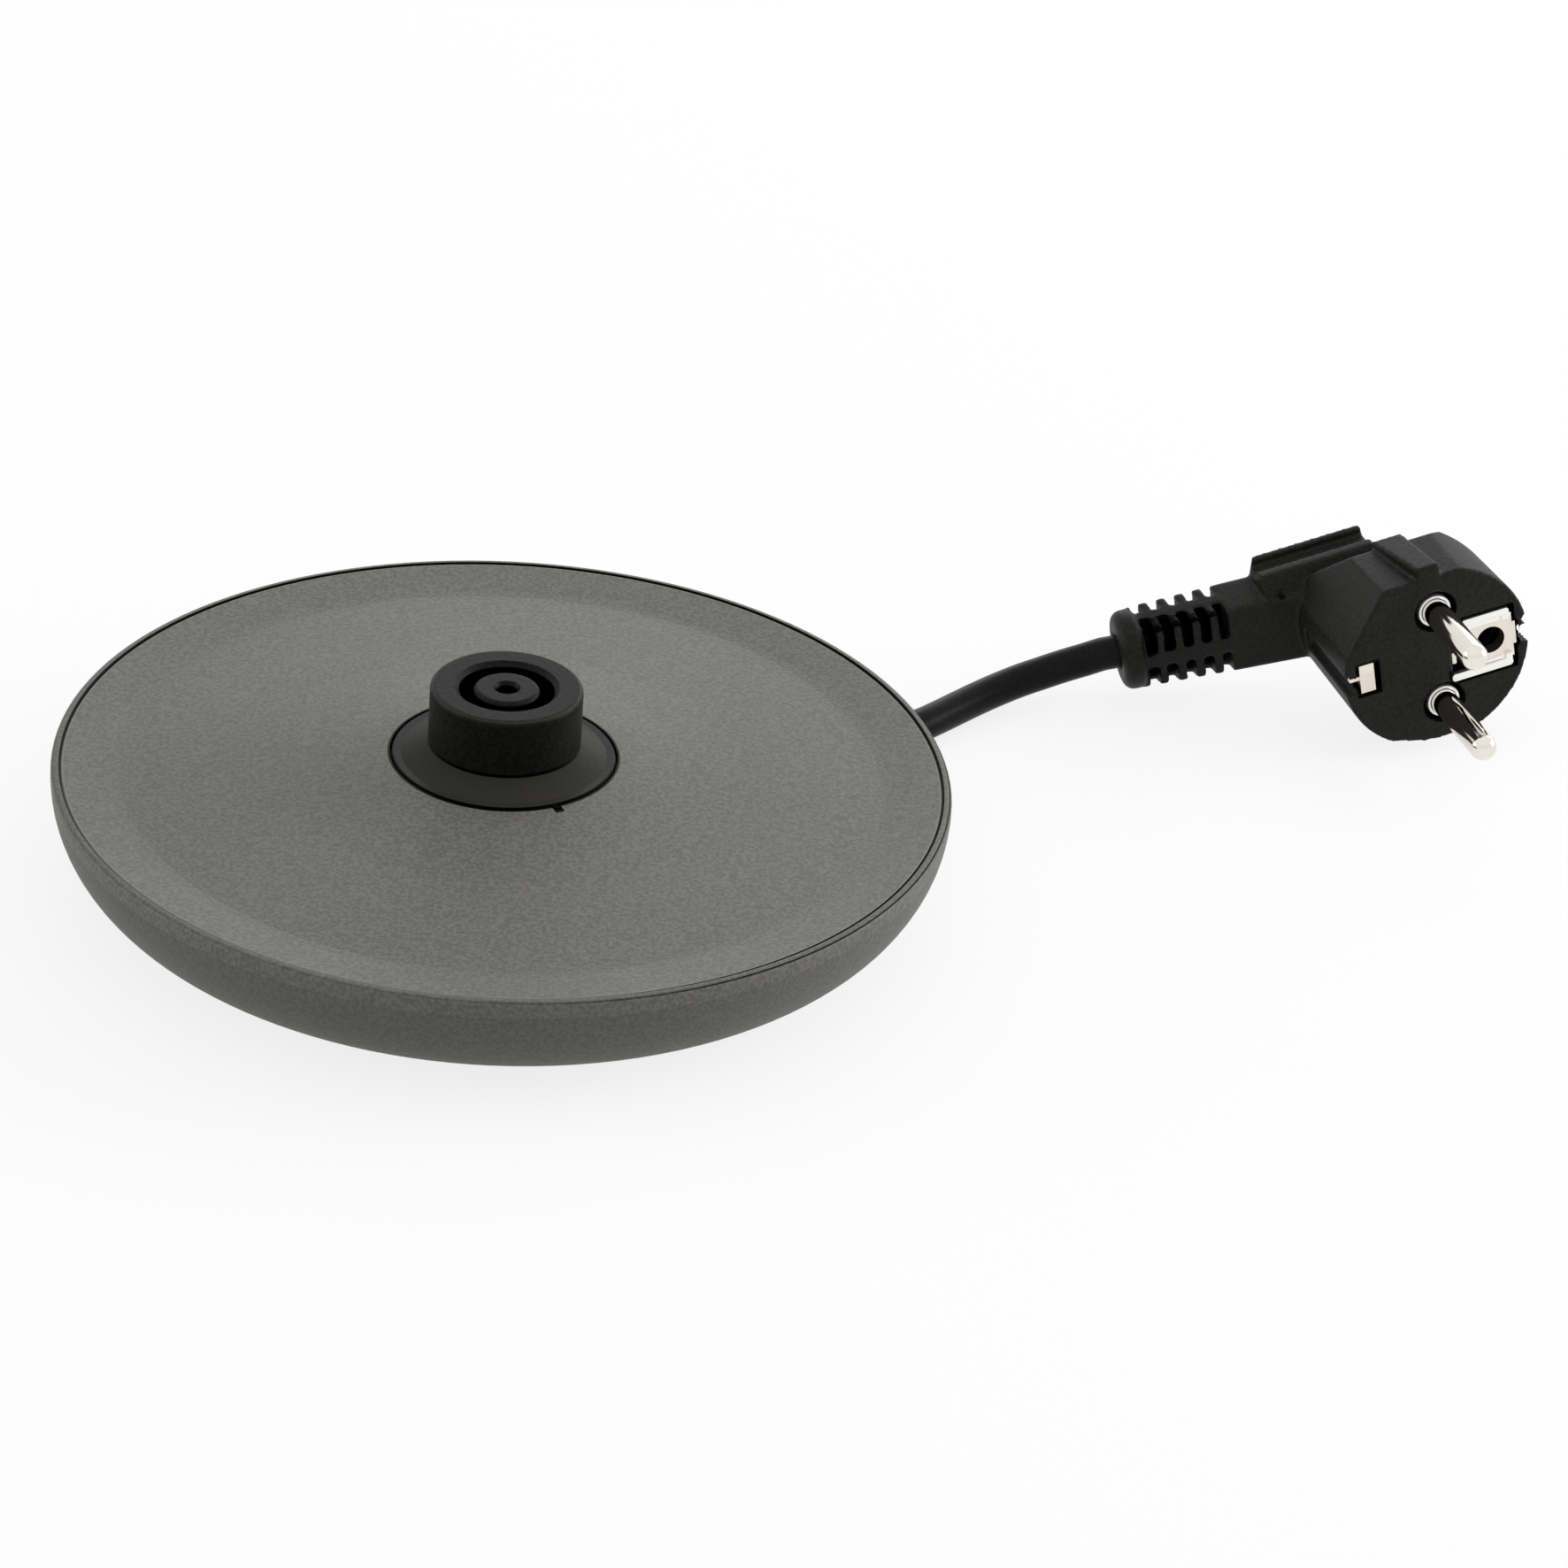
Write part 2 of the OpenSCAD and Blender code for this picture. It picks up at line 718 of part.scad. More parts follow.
// strain relief: a tapering stem with five rows of gaps and a round end
module strain_relief() {
    difference() {
        along_neck()
            hull() {
                translate([0, 0, -1])
                    linear_extrude(0.5)
                        neck_section(0);
                translate([0, 0, relief_l - disc_t + 0.2])
                    linear_extrude(0.5)
                        neck_section(-0.4);
            }
        for (i = [0:fins])
            relief_gap(neck_end[0] - fin_gap(i));
    }
    difference() {
        along_neck()
            translate([0, 0, relief_l - disc_t])
                rotate_extrude($fn = 64)
                    polygon(concat([[0, 0]], arc([6, 1.2], 1.2, -90, 0, 5),
                        arc([5.3, disc_t - 1.9], 1.9, 0, 90, 6), [[0, disc_t]]));
        translate([lead_at[0], lead_at[1], 0])
            rotate([0, -90, 0])
                cylinder(d = cord_d + 0.4, h = 4, $fn = 48);
    }
}

// side channel and face pocket of one earth clip
module clip_space(x0, x1, w, g) {
    translate([x0 - g, -1, -w / 2 - g])
        cube([x1 - x0 + 2 * g, 1 + plate_t + 0.6 + g, w + 2 * g]);
}

// head of the plug: narrows to the back, where slopes cut it away above and below
module plug_head() {
    difference() {
        union() {
            difference() {
                hull() {
                    into_plug(0, 0.2)
                        head_outline(head_r, head_flat);
                    into_plug(23.8, 0.2)
                        translate([-0.3, 0])
                            head_outline(head_r - 0.7, head_flat - 1.2);
                }
                for (s = [-1, 1])
                    translate([0, head_t - 0.8, s * (head_flat - 0.9)])
                        rotate([s * 52.6, 0, 0])
                            translate([-30, 0, -20])
                                cube([60, 20, 40]);
                translate([head_c + head_r, head_t - 3, -30])
                    rotate([0, 0, 66])
                        cube([20, 60, 60]);
            }
            hull() {
                translate([-2.6, 0, 0])
                    cube([4.2, 0.5, head_flat + guide_h]);
                translate([-4.8, head_t - 0.8, 0])
                    cube([5.6, 0.5, head_flat + 0.7]);
            }
            translate([-2.6, 0, -head_flat - 0.2])
                cube([4.2, 3, 2]);
        }
        translate([-3.1, -1, head_flat - 0.5])
            rotate([0, 0, 7.7])
                cube([0.5, head_t + 3, 4]);
        translate([head_c + head_r + 0.6, -1, 2.3])
            rotate([0, 45, 0])
                translate([-1.4, 0, -1.4])
                    cube([2.8, 12, 2.8]);
    }
}

// neck and the back of the plug, from the head to the strain relief
module plug_back() {
    hull()
        for (s = [-16, -0.6])
            along_neck()
                translate([0, 0, s])
                    linear_extrude(0.5)
                        neck_section(s < -5 ? 0.3 : 0);
    hull() {
        into_plug(head_t - 2, 0.5)
            translate([head_c, 0])
                circle(r = head_r - 6.4, $fn = 32);
        translate([wing_x[0] + 4, back_y - 6, -6.4])
            cube([15, 6, 12.4]);
    }
}

// raised grip across the plug's back, with a groove between its two lips
module plug_wing() {
    difference() {
        hull() {
            translate([wing_x[0], 23.3, 5.6])
                cube([wing_x[1] - wing_x[0] - 2, 9, 0.5]);
            translate([wing_x[0], lip_y, wing_z - 1])
                cube([wing_x[1] - wing_x[0] - 0.4, 4, 1]);
            translate([wing_x[0] + 1.6, back_y - 4, wing_z - 1])
                cube([wing_x[1] - wing_x[0] - 2, 4, 1]);
            translate([wing_x[0] + 1, back_y - 4, 2])
                cube([wing_x[1] - wing_x[0] - 1, 4, 1]);
        }
        translate([wing_x[0] - 1, groove_y[0], wing_z - 1.5])
            cube([wing_x[1] - wing_x[0] + 2, groove_y[1] - groove_y[0], 3]);
    }
}

module plug_body() {
    color([0.075, 0.075, 0.075])
        in_plug()
            difference() {
                union() {
                    plug_head();
                    plug_back();
                    plug_wing();
                    strain_relief();
                }
                for (s = [-1, 1])
                    translate([0, -1, s * pin_pitch / 2])
                        rotate([-90, 0, 0])
                            cylinder(d = collar_d + 1.6, h = 1 + collar_recess, $fn = 48);
                translate([0, collar_recess, 0])
                    pin_carrier_block(0.02);
                clip_space(plate_x[0], plate_x[1], plate_w, 0.25);
                clip_space(clip_x, clip_x + 4, clip_w, 0.25);
                translate([clip_x - 2, -1, -1.5])
                    cube([3, 3, 2]);
                translate([hole_x, 0, 0])
                    rotate([-90, 0, 0])
                        cylinder(d = earth_hole_d + 0.6, h = 13, $fn = 48);
                for (s = [-1, 1])
                    translate([s * (head_r + 0.6) + head_c, 8.6, -0.5])
                        cube([4.4, 21.8, channel_w], center = true);
                translate([-19.85, 23.7, 5.4])
                    cylinder(d = 1, h = 3, $fn = 24);
                earth_strap_parts(0.02);
            }
}

// white insulating block that carries both pins
module pin_carrier_block(g) {
    translate([-3.6 - g, 0, -pin_pitch / 2 - 3.6 - g])
        cube([7.2 + 2 * g, 5, pin_pitch + 7.2 + 2 * g]);
}

module pin_carrier() {
    color([0.93, 0.93, 0.9])
        in_plug()
            difference() {
                union() {
                    translate([0, collar_recess, 0])
                        pin_carrier_block(0);
                    for (s = [-1, 1])
                        translate([0, 0.5, s * pin_pitch / 2])
                            rotate([-90, 0, 0])
                                cylinder(d = collar_d, h = collar_recess, $fn = 48);
                }
                for (s = [-1, 1])
                    translate([0, -1, s * pin_pitch / 2])
                        rotate([-90, 0, 0])
                            cylinder(d = root_d + 0.1, h = 12, $fn = 48);
            }
}

// solid pin with a round nose and a thinner root in the carrier
module plug_pin(s) {
    color([0.8, 0.79, 0.76])
        in_plug()
            translate([0, 0, s * pin_pitch / 2])
                rotate([90, 0, 0])
                    rotate_extrude($fn = 64)
                        polygon(concat([[0, -collar_recess - 5],
                            [root_d / 2, -collar_recess - 5], [root_d / 2, 0.3],
                            [pin_d / 2, 0.3],
                            [pin_d / 2, pin_l - 1.9]],
                            arc([pin_d / 2 - 1.9, pin_l - 1.9], 1.9, 0, 90, 8), [[0, pin_l]]));
}

module plug_line_pin() {
    plug_pin(1);
}

module plug_neutral_pin() {
    plug_pin(-1);
}

// sheet-metal earth strap: face plate with rails, side springs and the bridge inside
module earth_strap_parts(g) {
    w = plate_w - 0.5;
    translate([plate_x[0] + 0.25, 0.6 - g, -w / 2])
        cube([plate_x[1] - plate_x[0] - 0.5, plate_t + 2 * g, w]);
    translate([clip_x + 0.25, 0.6 - g, -clip_w / 2 + 0.25])
        cube([3.5, plate_t + 2 * g, clip_w - 0.5]);
    translate([clip_x - 1.6, 0.6 - g, -1])
        cube([2.4, plate_t + 2 * g, 1]);
    for (x = [clip_x + 0.25, plate_x[1] - 0.25 - strap_t])
        translate([x - g, 0.6, -clip_w / 2 + 0.25])
            cube([strap_t + 2 * g, strap_y, clip_w - 0.5]);
    translate([clip_x + 0.25, strap_y - g, -clip_w / 2 + 0.25])
        cube([plate_x[1] - clip_x - 0.5, strap_t + 2 * g, clip_w - 0.5]);
    translate([hole_x, strap_y - g, 0])
        rotate([-90, 0, 0])
            cylinder(d = earth_hole_d + 4.6, h = strap_t + 2 * g, $fn = 64);
}

module plug_earth_strap() {
    color([0.86, 0.85, 0.8])
        in_plug()
            difference() {
                union() {
                    earth_strap_parts(0);
                    for (s = [-1, 1])
                        translate([plate_x[0] + 1.2, -0.1, s * (plate_w / 2 - 1.15) - 0.9])
                            cube([plate_x[1] - plate_x[0] - 2, 0.8, 1.8]);
                }
                translate([hole_x, -1, 0])
                    rotate([-90, 0, 0])
                        cylinder(d = earth_hole_d, h = 4, $fn = 48);
                translate([hole_x, 3, 0])
                    rotate([-90, 0, 0])
                        cylinder(d = earth_hole_d + 1, h = 12, $fn = 48);
            }
}

lower_shell();
top_cover();
connector_body();
contact_carrier();
line_contact();
neutral_contact();
earth_contact();
lead_terminals();
line_wire();
neutral_wire();
earth_wire();
cord_clamp();
clamp_screws();
connector_screws();
cover_screws();
rubber_feet();
cord_inner();
cord_winding();
cord_outer();
plug_body();
pin_carrier();
plug_line_pin();
plug_neutral_pin();
plug_earth_strap();
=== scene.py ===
"""Kettle power base: round grey dish, black connector post, black lead and angled mains plug.

Lengths are in metres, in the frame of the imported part, except where a comment says mm.
"""
import math

import bpy
import bmesh
from mathutils import Matrix, Vector


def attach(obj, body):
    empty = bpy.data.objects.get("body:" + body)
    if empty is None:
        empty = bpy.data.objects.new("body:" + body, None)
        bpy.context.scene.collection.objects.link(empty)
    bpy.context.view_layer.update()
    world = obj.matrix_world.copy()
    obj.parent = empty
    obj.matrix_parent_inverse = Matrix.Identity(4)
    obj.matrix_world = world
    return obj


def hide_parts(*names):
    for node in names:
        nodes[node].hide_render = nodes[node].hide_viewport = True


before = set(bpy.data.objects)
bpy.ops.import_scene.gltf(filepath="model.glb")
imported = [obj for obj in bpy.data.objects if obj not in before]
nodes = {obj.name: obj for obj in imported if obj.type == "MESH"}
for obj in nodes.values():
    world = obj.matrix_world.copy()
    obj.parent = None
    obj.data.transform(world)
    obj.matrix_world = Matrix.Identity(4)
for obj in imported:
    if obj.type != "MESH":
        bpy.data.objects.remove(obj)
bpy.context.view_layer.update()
scene = bpy.context.scene
MM = 0.001


# ---------------------------------------------------------------- camera
EYE = Vector((0, -1.03119, 0.60286))
AIM = Vector((0.04759, 0.00151, 0.0202))
ROLL = math.radians(4.03)
FOCAL_LENGTH = 160.92
SENSOR_WIDTH = 36


def place_camera():
    """Camera at EYE that looks at AIM and leans by ROLL."""
    forward = (AIM - EYE).normalized()
    level = forward.cross(Vector((0, 0, 1))).normalized()
    upright = level.cross(forward)
    up = math.cos(ROLL) * upright - math.sin(ROLL) * level
    right = forward.cross(up)
    lens = bpy.data.cameras.new("camera")
    lens.lens = FOCAL_LENGTH
    lens.sensor_width = SENSOR_WIDTH
    lens.sensor_fit = "HORIZONTAL"
    lens.clip_start = 0.05
    lens.clip_end = 20
    camera = bpy.data.objects.new("camera", lens)
    turn = Matrix((right, up, -forward)).transposed()
    camera.matrix_world = Matrix.Translation(EYE) @ turn.to_4x4()
    scene.collection.objects.link(camera)
    scene.camera = camera


place_camera()


# ---------------------------------------------------------------- lead
# All in mm and degrees. The lead leaves its clamp on a straight run, bends into the store, makes two turns
# there side by side, and goes out through the mouth to the plug.
LEAD_RADIUS = 3.0
LEAD_STEP = 2.2
RUN_ANGLE = 20
RUN_START = -12.7
RUN_STEP = 4
RUN_RISE = 0.3
BEND_RADIUS = 26
BEND_X = 15.3
STORE_Z = 6.1
INNER_TURN = 41.3
OUTER_TURN = 47.6
TURN_STEP = 5
TURN_SWEEP = 290
CROSSING_STEPS = 14
OUT_ROUTE = [
    (5, 47.6, 6.1), (10, 47.6, 6.1), (16, 47.6, 6.1), (28, 47.6, 5.8), (40, 47.6, 5), (47, 47.6, 4.4),
    (53, 47.6, 3.9), (58.6, 48.1, 3.5), (63.7, 49.4, 3.3), (68.4, 51.6, 3.1), (72.7, 54.6, 3.1),
    (76.5, 58.3, 3.1), (80.3, 62.2, 3.2), (84.1, 65.7, 3.5), (87.9, 68.6, 4), (91.8, 70.9, 4.7),
    (95.6, 72.5, 5.5), (99.5, 73.6, 6.6), (103.3, 73.8, 8), (106.4, 74, 9.2), (109.3, 74.3, 9.8),
]


def around(radius, degrees):
    """Point of the store at this radius and angle."""
    a = math.radians(degrees)
    return (radius * math.cos(a), radius * math.sin(a), STORE_Z)


def on_run(x, y, rise):
    """Point beside the clamp, in the coordinates of the straight run."""
    a = math.radians(RUN_ANGLE)
    return (x * math.cos(a) - y * math.sin(a), x * math.sin(a) + y * math.cos(a), STORE_Z + rise)


def store_turn(radius):
    return [around(radius, RUN_ANGLE - a) for a in range(TURN_STEP, TURN_SWEEP + 1, TURN_STEP)]


def lead_line():
    """Points of the whole lead, from the clamp to the plug."""
    line = [on_run(RUN_START + RUN_STEP * k, BEND_RADIUS, RUN_RISE) for k in range(8)]
    for degrees in range(80, -1, -10):
        a = math.radians(degrees)
        line.append(on_run(BEND_X + BEND_RADIUS * math.cos(a), BEND_RADIUS * math.sin(a),
                           RUN_RISE * degrees / 90))
    line += store_turn(INNER_TURN)
    for k in range(1, CROSSING_STEPS + 1):
        outwards = 0.5 * (1 - math.cos(math.pi * k / CROSSING_STEPS))
        line.append(around(INNER_TURN + (OUTER_TURN - INNER_TURN) * outwards, 90 - TURN_STEP * k))
    return line + store_turn(OUTER_TURN) + OUT_ROUTE


def smooth_line(points, step):
    """Points on the rounded line through the given ones, about one step apart."""
    line = [Vector(p) for p in points]
    line = [2 * line[0] - line[1]] + line + [2 * line[-1] - line[-2]]
    fine = []
    for a, b, c, d in zip(line, line[1:], line[2:], line[3:]):
        n = max(1, round((c - b).length / step))
        for k in range(n):
            t = k / n
            fine.append(0.5 * (2 * b + (c - a) * t + (2 * a - 5 * b + 4 * c - d) * t * t
                               + (3 * b - a - 3 * c + d) * t ** 3))
    return fine + [line[-2]]


def tube_curve(name, points, radius):
    """Round tube along points in mm. Each knot carries the radius, so that the curve's box is right."""
    data = bpy.data.curves.new(name, "CURVE")
    data.dimensions = "3D"
    data.bevel_depth = 1
    data.bevel_resolution = 8
    data.use_fill_caps = True
    spline = data.splines.new("POLY")
    spline.points.add(len(points) - 1)
    for knot, point in zip(spline.points, points):
        knot.co = (*(c * MM for c in point), 1)
        knot.radius = radius * MM
    spline.use_smooth = True
    piece = bpy.data.objects.new(name, data)
    scene.collection.objects.link(piece)
    return piece


# ---------------------------------------------------------------- moulded plug
# Plug coordinates are in mm: x away from the lead, y from the face into the plug, z up along the two pins.
plug_place = (Matrix.Translation((0.1647, 0.0591, 0.0199))
              @ Matrix.Rotation(math.radians(18.35), 4, "Z")
              @ Matrix.Rotation(math.radians(-11.9), 4, "Y"))
in_plug = plug_place @ Matrix.Scale(MM, 4)
plug_x, plug_y, plug_z = (plug_place.col[k].to_3d() for k in range(3))
PIN_Z = 9.5
SEAT_Y = 6.6
PIN_RADIUS = 2.4
PIN_END = -19
NOSE_RADIUS = 2.1
HOLE_X = 10
HOLE_RADIUS = 2.65
STRAP_Y = (7, 7.8)
STRAP_Z = (-2.3, 2.3)
NECK_END = Vector((-29.6, 28.9, 0))
NECK_ANGLE = 171.6

# Round-cornered parts of the earth metal: x, y and z from and to, radius of the corners, eased edge.
EARTH_TABS = {
    "upper rail": ((4.6, 13.75), (-0.2, 0.8), (4.55, 6.05), 0.65, 0.2),
    "step below it": ((5.6, 11.9), (0.1, 0.8), (3.7, 4.45), 0.2, 0.1),
    "upper corner": ((12.2, 13.75), (-0.1, 0.8), (3.3, 5.6), 0.4, 0.2),
    "lower rail": ((1.9, 13.75), (-0.2, 0.8), (-6.05, -4.5), 0.7, 0.2),
    "step above it": ((7.5, 11.9), (0.1, 0.8), (-4.4, -3.75), 0.2, 0.1),
    "lower corner": ((12.4, 13.75), (-0.1, 0.8), (-5.6, -3.3), 0.4, 0.2),
    "tongue": ((2.3, 3.2), (0.2, 0.9), (-2.6, -0.2), 0.3, 0.2),
    "clip": ((-15.3, -12.45), (0.2, 1.3), (-2.85, 2.9), 0.15, 0.12),
    "tail of the clip": ((-17.2, -15.2), (0.4, 1.2), (-0.1, 0.7), 0.2, 0.12),
}


def bar(mesh, x, y, z):
    """Block between pairs of plug coordinates."""
    for vert in bmesh.ops.create_cube(mesh, size=1)["verts"]:
        vert.co = [a + (b - a) * (c + 0.5) for (a, b), c in zip((x, y, z), vert.co)]


def bridge(mesh, near, far):
    """Band of faces between two closed loops."""
    for i in range(len(near)):
        mesh.faces.new((near[i - 1], near[i], far[i], far[i - 1]))


def tab(mesh, x, y, z, corner, ease):
    """Plate between pairs of plug coordinates with round corners and an eased front edge."""
    centres = ((x[1] - corner, z[1] - corner, 0), (x[0] + corner, z[1] - corner, 90),
               (x[0] + corner, z[0] + corner, 180), (x[1] - corner, z[0] + corner, 270))
    loops = []
    for inset, depth in ((ease, y[0]), (ease * 0.3, y[0] + ease * 0.3), (0, y[0] + ease), (0, y[1])):
        radius = max(corner - inset, 0.02)
        loop = []
        for cx, cz, start in centres:
            for k in range(7):
                a = math.radians(start + 15 * k)
                loop.append(mesh.verts.new((cx + radius * math.cos(a), depth, cz + radius * math.sin(a))))
        loops.append(loop)
    for near, far in zip(loops, loops[1:]):
        bridge(mesh, near, far)
    mesh.faces.new(loops[0])
    mesh.faces.new(loops[-1])


def ring(mesh, profile, x, z, sides=64):
    """Ring turned from (radius, y) points round a line along the plug's y."""
    rows = []
    for k in range(sides):
        a = math.tau * k / sides
        rows.append([mesh.verts.new((x + r * math.cos(a), y, z + r * math.sin(a))) for r, y in profile])
    for near, far in zip(rows, rows[1:] + rows[:1]):
        bridge(mesh, near, far)


def holed_plate(mesh, x, y, z, hole_x, radius, sides=64):
    """Plate between pairs of plug coordinates with a round hole at height 0."""
    corners = [math.atan2(b, a - hole_x) % math.tau for a in x for b in z]
    angles = sorted(set(corners + [math.tau * k / sides for k in range(sides)]))
    nearly_square = 1e-9
    rows = []
    for a in angles:
        c, s = math.cos(a), math.sin(a)
        across = (x[c > 0] - hole_x) / c if abs(c) > nearly_square else math.inf
        upward = z[s > 0] / s if abs(s) > nearly_square else math.inf
        reach = min(across, upward)
        rows.append([mesh.verts.new((hole_x + r * c, h, r * s))
                     for r, h in ((radius, y[0]), (reach, y[0]), (reach, y[1]), (radius, y[1]))])
    for near, far in zip(rows, rows[1:] + rows[:1]):
        bridge(mesh, near, far)


def face_fillers():
    """Narrow the pits round the collars and the pocket beside the earth plate."""
    mesh = bmesh.new()
    for z in (PIN_Z, -PIN_Z):
        ring(mesh, [(3.8, 0), (4.7, 0), (4.7, 1.9), (3.8, 1.9)], 0, z)
    for z in ((2.8, 6.5), (-6.5, -2.8)):
        bar(mesh, (14.85, 15.8), (0, 1.6), z)
    bmesh.ops.recalc_face_normals(mesh, faces=mesh.faces)
    mesh.transform(in_plug)
    return mesh


def pin_collars():
    """Two white collars round the roots of the pins."""
    mesh = bmesh.new()
    lip = [(2.42, 0.5), (2.46, 0.32), (2.6, 0.22), (2.8, 0.2), (2.98, 0.28), (3.08, 0.46), (3.1, 0.7)]
    for z in (PIN_Z, -PIN_Z):
        ring(mesh, [*lip, (3.1, SEAT_Y), (2.42, SEAT_Y)], 0, z)
    return mesh


def earth_strap():
    """Earth plate with its two rails and its hole, the clip, and the strap that joins them."""
    mesh = bmesh.new()
    holed_plate(mesh, (6.1, 14.25), (0.45, 1.25), (-4.5, 4.5), HOLE_X, HOLE_RADIUS)
    ring(mesh, [(HOLE_RADIUS, 0.5), (HOLE_RADIUS, 2.9), (2.85, 2.9), (2.85, 0.5)], HOLE_X, 0)
    for x, y, z, corner, ease in EARTH_TABS.values():
        tab(mesh, x, y, z, corner, ease)
    for x in (-15.3, 14.15):
        bar(mesh, (x, x + 0.8), (0.7, 7.7), STRAP_Z)
    bar(mesh, (-15.3, 6), STRAP_Y, STRAP_Z)
    bar(mesh, (13.4, 14.95), STRAP_Y, STRAP_Z)
    ring(mesh, [(3, STRAP_Y[0]), (4.8, STRAP_Y[0]), (4.8, STRAP_Y[1]), (3, STRAP_Y[1])], HOLE_X, 0)
    return mesh


def mains_pin(z):
    """Round pin with a rounded nose."""
    mesh = bmesh.new()
    axis = 0.02
    nose = []
    for degrees in range(0, 91, 6):
        a = math.radians(degrees)
        nose.append((PIN_RADIUS - NOSE_RADIUS + NOSE_RADIUS * math.cos(a),
                     PIN_END + NOSE_RADIUS - NOSE_RADIUS * math.sin(a)))
    ring(mesh, [(axis, SEAT_Y), (2.15, SEAT_Y), (2.15, 0.4), (PIN_RADIUS, 0.2), *nose, (axis, PIN_END)],
         0, z, sides=96)
    return mesh


def shade_smooth(data, sharp_degrees=None):
    data.polygons.foreach_set("use_smooth", [True] * len(data.polygons))
    if sharp_degrees:
        data.set_sharp_from_angle(angle=math.radians(sharp_degrees))


def stand_in(name, data, node):
    """The piece of this mesh that takes a node's place."""
    piece = bpy.data.objects.new(name, data)
    scene.collection.objects.link(piece)
    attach(piece, "root")
    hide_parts(node)
    return piece


def plug_piece(name, mesh, node):
    """Stand-in from a mesh drawn in plug coordinates."""
    bmesh.ops.recalc_face_normals(mesh, faces=mesh.faces)
    mesh.transform(in_plug)
    data = bpy.data.meshes.new(name)
    mesh.to_mesh(data)
    mesh.free()
    shade_smooth(data, 35)
    return stand_in(name, data, node)


def softened_plug():
    """Fine copy of the plug's moulding with its edges rounded as a tool rounds them."""
    data = nodes["plug_body"].data.copy()
    fillers = face_fillers()
    fillers.from_mesh(data)
    fillers.to_mesh(data)
    fillers.free()
    piece = stand_in("plug", data, "plug_body")
    grid = piece.modifiers.new("grid", "REMESH")
    grid.mode = "VOXEL"
    grid.voxel_size = 0.32 * MM
    grid.use_smooth_shade = True
    ease = piece.modifiers.new("ease", "SMOOTH")
    ease.factor = 0.5
    ease.iterations = 7
    made = bpy.data.meshes.new_from_object(piece.evaluated_get(bpy.context.evaluated_depsgraph_get()))
    piece.modifiers.clear()
    piece.data = made
    made.name = "plug"
    shade_smooth(made)
    return piece


def closer_cover():
    """Cover plate whose outer edge reaches the lip, as the thin joint in the picture shows."""
    edge_from, moved_out = 0.0735, 0.00034
    data = nodes["top_cover"].data.copy()
    data.name = "cover_plate"
    for vert in data.vertices:
        out = vert.co.xy.length
        if out > edge_from:
            vert.co.xy *= 1 + moved_out / out
    shade_smooth(data, 30)
    return stand_in("cover_plate", data, "top_cover")


cover = closer_cover()
plug = softened_plug()
collars = plug_piece("pin_collars", pin_collars(), "pin_carrier")
strap = plug_piece("earth_strap", earth_strap(), "plug_earth_strap")
pins = [plug_piece("upper_pin", mains_pin(PIN_Z), "plug_line_pin"),
        plug_piece("lower_pin", mains_pin(-PIN_Z), "plug_neutral_pin")]

lead_points = smooth_line(lead_line(), LEAD_STEP)
lead_length = sum((b - a).length for a, b in zip(lead_points, lead_points[1:])) * MM
lead = tube_curve("lead", lead_points, LEAD_RADIUS)
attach(lead, "root")
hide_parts("cord_inner", "cord_winding", "cord_outer")


# ---------------------------------------------------------------- materials
# Noise scales, in waves per metre, that several finishes share, and the part of a noise that shows as clouds.
SPARK_GRAIN = 1450
FINE_PITS = 1500
CLOUD = (0.3, 0.7)


class Value:
    """One output in a node tree. Arithmetic on it adds the Math nodes."""

    def __init__(self, look, socket):
        self.look = look
        self.socket = socket

    def maths(self, operation, *others, clamp=False):
        return self.look.node("ShaderNodeMath", [self, *others], operation=operation, use_clamp=clamp)

    def __add__(self, other):
        return self.maths("ADD", other)

    __radd__ = __add__

    def __mul__(self, other):
        return self.maths("MULTIPLY", other)

    __rmul__ = __mul__

    def __sub__(self, other):
        return self.maths("SUBTRACT", other)

    def __rsub__(self, other):
        return self.look.node("ShaderNodeMath", [other, self], operation="SUBTRACT")

    def __gt__(self, other):
        return self.maths("GREATER_THAN", other)

    def __lt__(self, other):
        return self.maths("LESS_THAN", other)

    def __abs__(self):
        return self.maths("ABSOLUTE")

    def inside(self, low, high):
        """1 between the two limits, 0 outside them."""
        return (self > low) * (self < high)

    def between(self, low, high, start=0, end=1):
        """start below low, end above high, smooth in between."""
        return self.look.node("ShaderNodeMapRange", [self, low, high, start, end],
                              interpolation_type="SMOOTHSTEP")

    def under(self, low, high):
        """1 below low, 0 above high, smooth in between."""
        return 1 - self.between(low, high)

    def band(self, low, full, past, high):
        """Rises from low to full, and falls again from past to high."""
        return self.between(low, full) * self.under(past, high)


class Look:
    """Node tree of a material or of the world, built from plain calls."""

    def __init__(self, owner):
        owner.use_nodes = True
        self.tree = owner.node_tree
        self.tree.nodes.clear()

    def feed(self, socket, value):
        if isinstance(value, Value):
            self.tree.links.new(value.socket, socket)
        elif isinstance(value, tuple) and len(value) == 3 and socket.type == "RGBA":
            socket.default_value = (*value, 1)
        else:
            socket.default_value = value

    def node(self, kind, sockets=(), out=0, **settings):
        """New node: its settings first, then its sockets, by place or by name."""
        made = self.tree.nodes.new(kind)
        for key, value in settings.items():
            setattr(made, key, value)
        pairs = sockets.items() if isinstance(sockets, dict) else enumerate(sockets)
        for key, value in pairs:
            self.feed(made.inputs[key], value)
        return Value(self, made.outputs[out]) if len(made.outputs) else None


